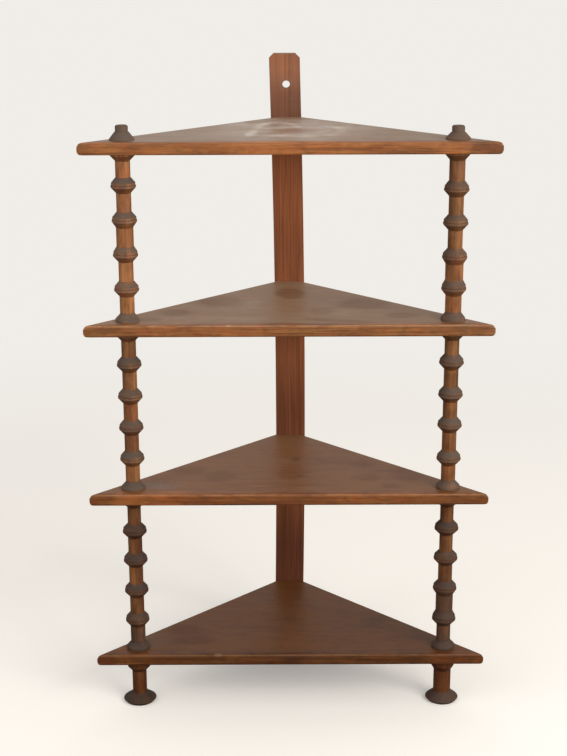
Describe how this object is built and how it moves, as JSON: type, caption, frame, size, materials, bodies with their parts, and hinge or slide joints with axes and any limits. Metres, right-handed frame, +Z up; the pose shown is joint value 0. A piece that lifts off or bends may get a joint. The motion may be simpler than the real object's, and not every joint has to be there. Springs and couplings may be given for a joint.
{
  "type": "corner shelf unit",
  "caption": "Free-standing corner shelf unit of stained wood: three-cornered shelves on turned bead-and-collar posts, screwed to a flat back batten with a hanging hole.",
  "frame": {"origin": "on the floor, under the centre of the unit's bounding box", "axes": "+X to the right along the shelves' front edges, +Y from the front edges back to the batten, +Z up"},
  "size_m": [0.5, 0.24, 0.82],
  "materials": {
    "shelf_wood": "worn brown stain, dusty on top",
    "batten_wood": "satin red-brown stain",
    "turned_wood": "satin orange-brown stain",
    "dowel_wood": "bare beech",
    "screw_steel": "dull, aged"
  },
  "bodies": {
    "root": {"shelf_bottom": "shelf_wood", "shelf_lower_middle": "shelf_wood", "shelf_upper_middle": "shelf_wood", "shelf_top": "shelf_wood", "back_batten": "batten_wood", "foot_left": "turned_wood", "foot_right": "turned_wood", "spindle_lower_left": "turned_wood", "spindle_lower_right": "turned_wood", "spindle_middle_left": "turned_wood", "spindle_middle_right": "turned_wood", "spindle_upper_left": "turned_wood", "spindle_upper_right": "turned_wood", "finial_left": "turned_wood", "finial_right": "turned_wood", "dowel_bottom_left": "dowel_wood", "dowel_bottom_right": "dowel_wood", "dowel_lower_middle_left": "dowel_wood", "dowel_lower_middle_right": "dowel_wood", "dowel_upper_middle_left": "dowel_wood", "dowel_upper_middle_right": "dowel_wood", "dowel_top_left": "dowel_wood", "dowel_top_right": "dowel_wood", "batten_screws": "screw_steel"}
  },
  "joints": []
}
